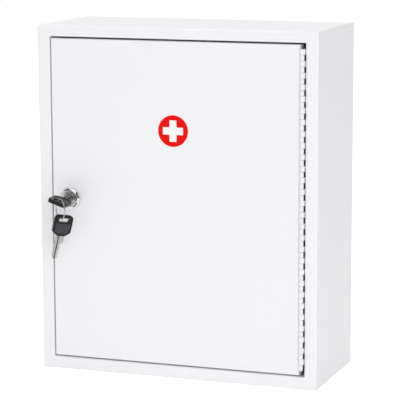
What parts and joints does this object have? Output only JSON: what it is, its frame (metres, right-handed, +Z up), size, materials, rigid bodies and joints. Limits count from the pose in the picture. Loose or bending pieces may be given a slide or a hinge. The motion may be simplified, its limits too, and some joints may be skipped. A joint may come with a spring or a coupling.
{
  "type": "lockable medicine cabinet",
  "caption": "White sheet-steel wall cabinet with a flush door on a continuous hinge, shelves inside, and a cam lock with two keys on a wire ring.",
  "frame": {"origin": "centre of the cabinet's underside", "axes": "+X to the viewer's right when facing the door, +Y from the door to the back, +Z up"},
  "size_m": [0.325, 0.1863, 0.39],
  "materials": {
    "powder_coat": "satin powder coat",
    "hinge_paint": "satin powder coat",
    "pin_steel": "bright drawn",
    "red_sticker": "printed vinyl",
    "chrome": "polished",
    "zinc_plate": "zinc plated",
    "plug_metal": "satin nickel",
    "brass": "stamped",
    "spring_steel": "bright",
    "key_nickel": "nickel plated",
    "key_plastic": "fine moulded grain",
    "ring_wire": "bright wire"
  },
  "bodies": {
    "cabinet": {"left_side": "powder_coat", "right_side": "powder_coat", "top_panel": "powder_coat", "bottom_panel": "powder_coat", "back_panel": "powder_coat", "shelf_ledges": "powder_coat", "lower_shelf": "powder_coat", "upper_shelf": "powder_coat", "frame_hinge_leaf": "hinge_paint", "hinge_pin": "pin_steel"},
    "door": {"door_panel": "powder_coat", "door_hinge_leaf": "hinge_paint", "first_aid_disc": "red_sticker", "lock_housing": "chrome", "lock_washer": "zinc_plate", "lock_nut": "zinc_plate"},
    "plug": {"lock_plug": "plug_metal", "lock_wafers": "brass", "wafer_springs": "spring_steel", "stop_washer": "zinc_plate", "lock_cam": "zinc_plate", "cam_screw": "zinc_plate"},
    "key": {"key_blade": "key_nickel", "key_bow": "key_plastic"},
    "ring": {"key_ring": "ring_wire"},
    "spare_key": {"spare_key_blade": "key_nickel", "spare_key_bow": "key_plastic"}
  },
  "joints": [
    {"name": "door_swing", "type": "hinge", "parent": "cabinet", "child": "door", "pos_m": [0.1452, -0.0708, 0.195], "axis": [0, 0, 1], "range_deg": [0, 170]},
    {"name": "lock_turn", "type": "hinge", "parent": "door", "child": "plug", "pos_m": [-0.1245, -0.07, 0.1971], "axis": [0, 1, 0], "range_deg": [-18, 72]},
    {"name": "key_slide", "type": "slide", "parent": "plug", "child": "key", "axis": [0, -1, 0], "range_m": [0, 0.02]},
    {"name": "ring_swing", "type": "hinge", "parent": "key", "child": "ring", "pos_m": [-0.12089, -0.1078, 0.19593], "axis": [-0.9511, 0, 0.309], "range_deg": [0, 60]},
    {"name": "spare_key_swing", "type": "hinge", "parent": "ring", "child": "spare_key", "pos_m": [-0.12089, -0.1088, 0.18013], "axis": [0.766, -0.6428, 0], "range_deg": [-30, 40]}
  ]
}
